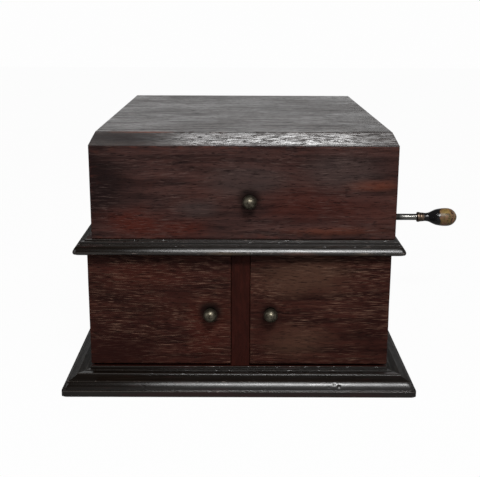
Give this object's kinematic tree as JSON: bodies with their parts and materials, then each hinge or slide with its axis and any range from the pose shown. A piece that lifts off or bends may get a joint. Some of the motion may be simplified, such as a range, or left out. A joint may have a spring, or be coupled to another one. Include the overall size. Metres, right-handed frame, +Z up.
{
  "type": "tabletop gramophone",
  "caption": "Table gramophone in a dark wooden case: boxed lid over a wind-up turntable and tonearm, doors over an internal horn, moulded waist and base, side crank.",
  "frame": {"origin": "middle of the case on the underside that it stands on", "axes": "+Z up, -Y towards the doors, +X towards the crank"},
  "size_m": [0.5605, 0.5007, 0.3252],
  "materials": {
    "wood_lid": "aged stained open-grain wood, satin",
    "wood_case": "aged stained open-grain wood, satin",
    "wood_stile": "smooth dark stained wood",
    "wood_black": "ebonised, polished",
    "wood_inside": "plain inner boards",
    "wood_handle": "black lacquer, worn to bare wood",
    "bronze": "aged, dark",
    "brass": "plain",
    "nickel": "nickel plate, slightly dulled",
    "steel": "plain",
    "iron": "black painted",
    "felt": "green felt",
    "mica": "clear flake"
  },
  "bodies": {
    "case": {"side_panel_left": "wood_case", "side_panel_right": "wood_case", "back_panel": "wood_case", "motor_board": "wood_case", "centre_stile": "wood_stile", "front_rails": "wood_stile", "base_moulding_front": "wood_black", "base_moulding_sides": "wood_black", "waist_moulding_front": "wood_black", "waist_moulding_sides": "wood_black", "bottom_board": "wood_inside", "horn_boards": "wood_inside", "horn_cheeks": "wood_inside", "motor_board_cleats": "wood_inside", "hinge_case_leaves": "brass", "hinge_pins": "brass", "speed_dial": "brass", "crank_escutcheon": "nickel", "tonearm_base": "nickel", "arm_rest": "nickel", "needle_cups": "nickel", "deck_screws": "nickel", "motor_top_plate": "steel", "motor_bottom_plate": "steel", "motor_pillars": "steel", "horn_elbow": "iron"},
    "lid": {"lid_front": "wood_lid", "lid_back": "wood_lid", "lid_sides": "wood_lid", "lid_top": "wood_lid", "lid_knob": "bronze", "lid_hinge_leaves": "brass", "lid_stay": "brass"},
    "left_door": {"door_left": "wood_case", "door_knob_left": "bronze", "door_hinge_leaves_left": "brass"},
    "right_door": {"door_right": "wood_case", "door_knob_right": "bronze", "door_hinge_leaves_right": "brass"},
    "crank": {"crank_rod": "nickel", "winding_pinion": "steel"},
    "handle": {"crank_handle": "wood_handle", "crank_ferrule": "bronze"},
    "winding": {"winding_wheel": "brass"},
    "barrel": {"spring_barrel": "brass", "mainspring": "steel"},
    "intermediate": {"intermediate_gear": "brass"},
    "platter": {"spindle": "steel", "turntable": "nickel", "turntable_felt": "felt"},
    "governor": {"governor": "steel"},
    "arm": {"tonearm": "nickel"},
    "soundbox": {"goose_neck": "nickel", "soundbox_case": "nickel", "diaphragm": "mica", "needle_bar": "nickel", "needle": "steel"},
    "brake": {"brake_lever": "nickel"},
    "speed": {"speed_lever": "nickel"}
  },
  "joints": [
    {"name": "lid_hinge", "type": "hinge", "parent": "case", "child": "lid", "pos_m": [0, 0.2337, 0.19445], "axis": [-1, 0, 0], "range_deg": [0, 68]},
    {"name": "left_door_hinge", "type": "hinge", "parent": "case", "child": "left_door", "pos_m": [-0.1877, -0.21385, 0.1], "axis": [0, 0, -1], "range_deg": [0, 170]},
    {"name": "right_door_hinge", "type": "hinge", "parent": "case", "child": "right_door", "pos_m": [0.1877, -0.21385, 0.1], "axis": [0, 0, 1], "range_deg": [0, 170]},
    {"name": "crank_turn", "type": "hinge", "parent": "case", "child": "crank", "pos_m": [0.214, -0.035, 0.1534], "axis": [1, 0, 0], "continuous": true},
    {"name": "handle_spin", "type": "hinge", "parent": "crank", "child": "handle", "pos_m": [0.31, 0.07, 0.1534], "axis": [1, 0, 0], "continuous": true},
    {"name": "winding_wheel_turn", "type": "hinge", "parent": "case", "child": "winding", "pos_m": [0.065, -0.035, 0.14], "axis": [0, 0, 1], "continuous": true},
    {"name": "turntable_spin", "type": "hinge", "parent": "case", "child": "platter", "pos_m": [-0.01, -0.055, 0.2], "axis": [0, 0, 1], "continuous": true},
    {"name": "intermediate_turn", "type": "hinge", "parent": "case", "child": "intermediate", "pos_m": [0.02381, -0.06779, 0.14], "axis": [0, 0, 1], "continuous": true},
    {"name": "barrel_turn", "type": "hinge", "parent": "case", "child": "barrel", "pos_m": [0.065, -0.035, 0.12], "axis": [0, 0, 1], "continuous": true},
    {"name": "governor_spin", "type": "hinge", "parent": "case", "child": "governor", "pos_m": [-0.03015, -0.055, 0.122], "axis": [0, 1, 0], "continuous": true},
    {"name": "tonearm_swing", "type": "hinge", "parent": "case", "child": "arm", "pos_m": [0.06, 0.15, 0.2], "axis": [0, 0, -1], "range_deg": [0, 30]},
    {"name": "soundbox_lift", "type": "hinge", "parent": "arm", "child": "soundbox", "pos_m": [0.09163, -0.06165, 0.252], "axis": [0.1478, -0.989, 0], "range_deg": [0, 90]},
    {"name": "brake_swing", "type": "hinge", "parent": "case", "child": "brake", "pos_m": [0.11595, 0.00954, 0.199], "axis": [0, 0, -1], "range_deg": [0, 14]},
    {"name": "speed_set", "type": "hinge", "parent": "case", "child": "speed", "pos_m": [-0.1315, 0.068, 0.19], "axis": [0, 0, 1], "range_deg": [-40, 40]}
  ],
  "couplings": [
    {"joint": "winding_wheel_turn", "follows": "crank_turn", "ratio": 0.33333},
    {"joint": "intermediate_turn", "follows": "turntable_spin", "ratio": -0.2},
    {"joint": "barrel_turn", "follows": "turntable_spin", "ratio": 0.033333},
    {"joint": "governor_spin", "follows": "turntable_spin", "ratio": 15}
  ]
}
